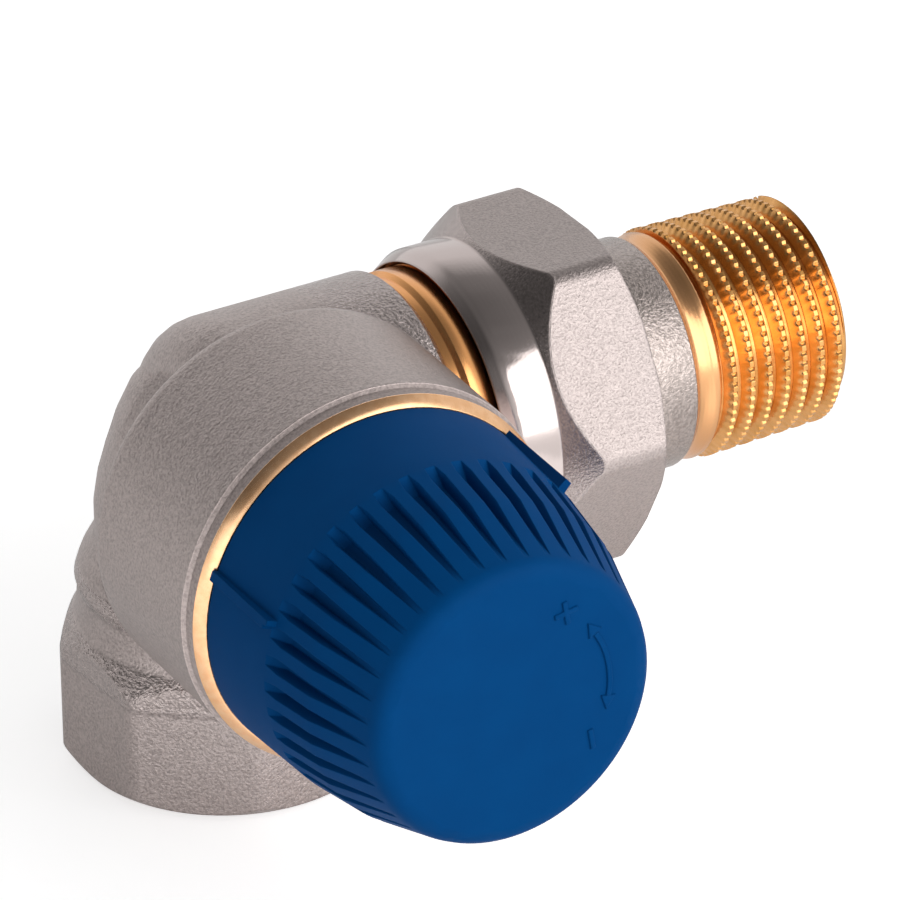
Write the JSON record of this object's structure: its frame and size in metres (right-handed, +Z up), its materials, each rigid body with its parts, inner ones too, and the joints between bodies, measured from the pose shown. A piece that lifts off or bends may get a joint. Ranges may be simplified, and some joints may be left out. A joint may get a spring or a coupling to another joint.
{
  "type": "radiator valve",
  "caption": "Corner radiator valve for a half inch pipe: octagon inlet boss below, screwed union to the side, thermostatic insert under a fluted protective turning cap.",
  "frame": {"origin": "centre of the inlet mouth, on the inlet thread's axis, in the end face of the octagon boss", "axes": "+Z up along the inlet axis into the body, +X along the union towards the tail thread, -Y along the head axis towards the cap"},
  "size_m": [0.0728, 0.0649, 0.0471],
  "materials": {
    "nickel_plate": "nickel-plated brass casting, satin and slightly grainy",
    "plain_brass": "bare turned brass",
    "stainless_steel": "drawn stainless steel",
    "black_rubber": "moulded rubber",
    "blue_plastic": "moulded, matt"
  },
  "bodies": {
    "valve": {"valve_body": "nickel_plate", "insert_housing": "plain_brass", "insert_seal_ring": "black_rubber", "guide_bush": "stainless_steel", "gland_nut": "plain_brass", "gland_seal_ring": "black_rubber", "stem_seal_rings": "black_rubber", "gland_spacer_ring": "plain_brass"},
    "stem": {"spindle": "stainless_steel", "pressure_pin": "stainless_steel", "return_spring": "stainless_steel", "spring_washer": "plain_brass", "spindle_circlip": "stainless_steel", "plug_carrier": "plain_brass", "plug_seal": "black_rubber", "plug_washer": "plain_brass", "plug_nut": "plain_brass"},
    "cap": {"protective_cap": "blue_plastic"},
    "tail": {"tailpiece": "plain_brass", "tail_seal_ring": "black_rubber"},
    "nut": {"union_nut": "nickel_plate"}
  },
  "joints": [
    {"name": "stem_lift", "type": "slide", "parent": "valve", "child": "stem", "axis": [0, -1, 0], "range_m": [0, 0.003], "deforming": ["return_spring"]},
    {"name": "cap_turn", "type": "hinge", "parent": "stem", "child": "cap", "pos_m": [0, -0.0048, 0.0295], "axis": [0, -1, 0], "range_deg": [0, 720]},
    {"name": "tail_draw", "type": "slide", "parent": "valve", "child": "tail", "axis": [1, 0, 0], "range_m": [0, 0.008]},
    {"name": "nut_turn", "type": "hinge", "parent": "tail", "child": "nut", "pos_m": [0, -0.0048, 0.0295], "axis": [1, 0, 0], "range_deg": [0, 1587]}
  ],
  "couplings": [
    {"joint": "stem_lift", "follows": "cap_turn", "m_per_rad": 0.00023873},
    {"joint": "tail_draw", "follows": "nut_turn", "m_per_rad": 0.00028871}
  ]
}
